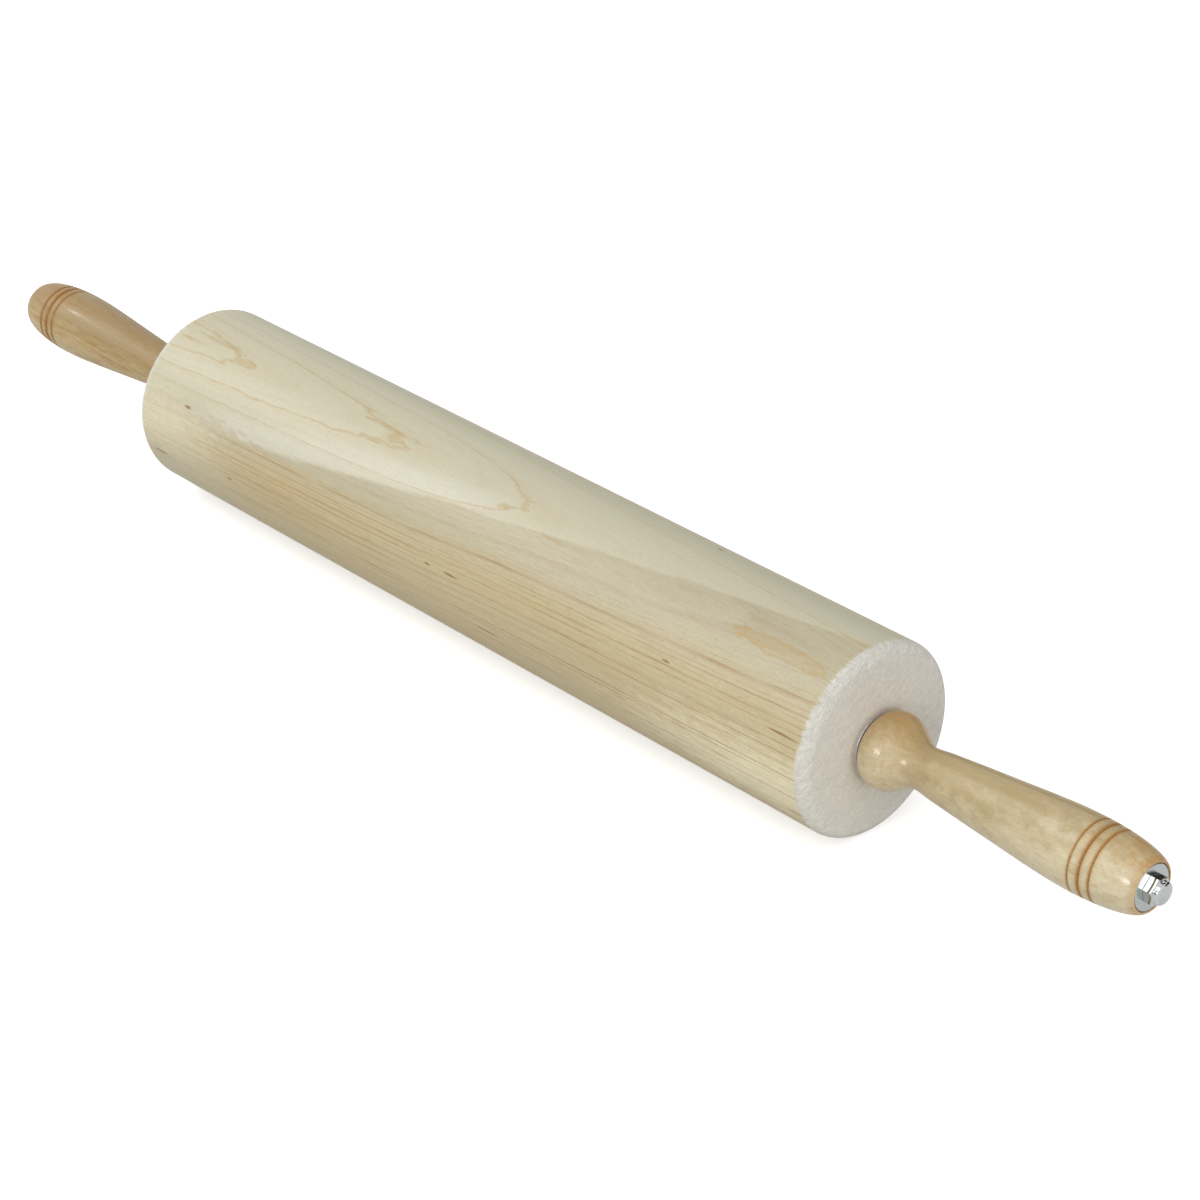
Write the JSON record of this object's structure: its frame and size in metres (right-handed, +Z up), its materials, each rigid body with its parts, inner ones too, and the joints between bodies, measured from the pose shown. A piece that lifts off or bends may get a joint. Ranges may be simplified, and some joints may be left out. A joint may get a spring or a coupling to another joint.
{
  "type": "rolling pin",
  "caption": "Baker's rolling pin: thick straight wooden roller that turns on ball bearings, with turned wooden handles fixed to a through axle by cap nuts.",
  "frame": {"origin": "centre of the roller, on the axle, which is also the centre of the bounding box", "axes": "+X along the axle, towards the right-hand handle; +Z up when the pin lies on a table; +Y away from the viewer"},
  "size_m": [0.7606, 0.0888, 0.0888],
  "materials": {
    "roller_maple": "fine sanded, thin oil, satin",
    "handle_maple": "clear gloss lacquer",
    "chrome": "bright plated",
    "steel": "turned",
    "cup_steel": "pressed, zinc plated",
    "ball_steel": "polished",
    "cage_brass": "satin"
  },
  "bodies": {
    "handles": {"axle_rod": "steel", "distance_tube": "steel", "right_handle": "handle_maple", "left_handle": "handle_maple", "right_end_washer": "chrome", "left_end_washer": "chrome", "right_cap_nut": "chrome", "left_cap_nut": "chrome", "right_handle_bush": "steel", "left_handle_bush": "steel", "right_inner_race": "steel", "left_inner_race": "steel"},
    "roller": {"roller": "roller_maple", "right_bearing_cup": "cup_steel", "left_bearing_cup": "cup_steel", "right_outer_race": "steel", "left_outer_race": "steel", "right_bearing_shields": "steel", "left_bearing_shields": "steel"},
    "right_cage": {"right_ball_cage": "cage_brass", "right_bearing_balls": "ball_steel"},
    "left_cage": {"left_ball_cage": "cage_brass", "left_bearing_balls": "ball_steel"}
  },
  "joints": [
    {"name": "roller_spin", "type": "hinge", "parent": "handles", "child": "roller", "pos_m": [0, 0, 0], "axis": [1, 0, 0], "continuous": true},
    {"name": "right_cage_spin", "type": "hinge", "parent": "handles", "child": "right_cage", "pos_m": [0.2236, 0, 0], "axis": [1, 0, 0], "continuous": true},
    {"name": "left_cage_spin", "type": "hinge", "parent": "handles", "child": "left_cage", "pos_m": [-0.2236, 0, 0], "axis": [1, 0, 0], "continuous": true}
  ],
  "couplings": [
    {"joint": "right_cage_spin", "follows": "roller_spin", "ratio": 0.6315},
    {"joint": "left_cage_spin", "follows": "roller_spin", "ratio": 0.6315}
  ]
}
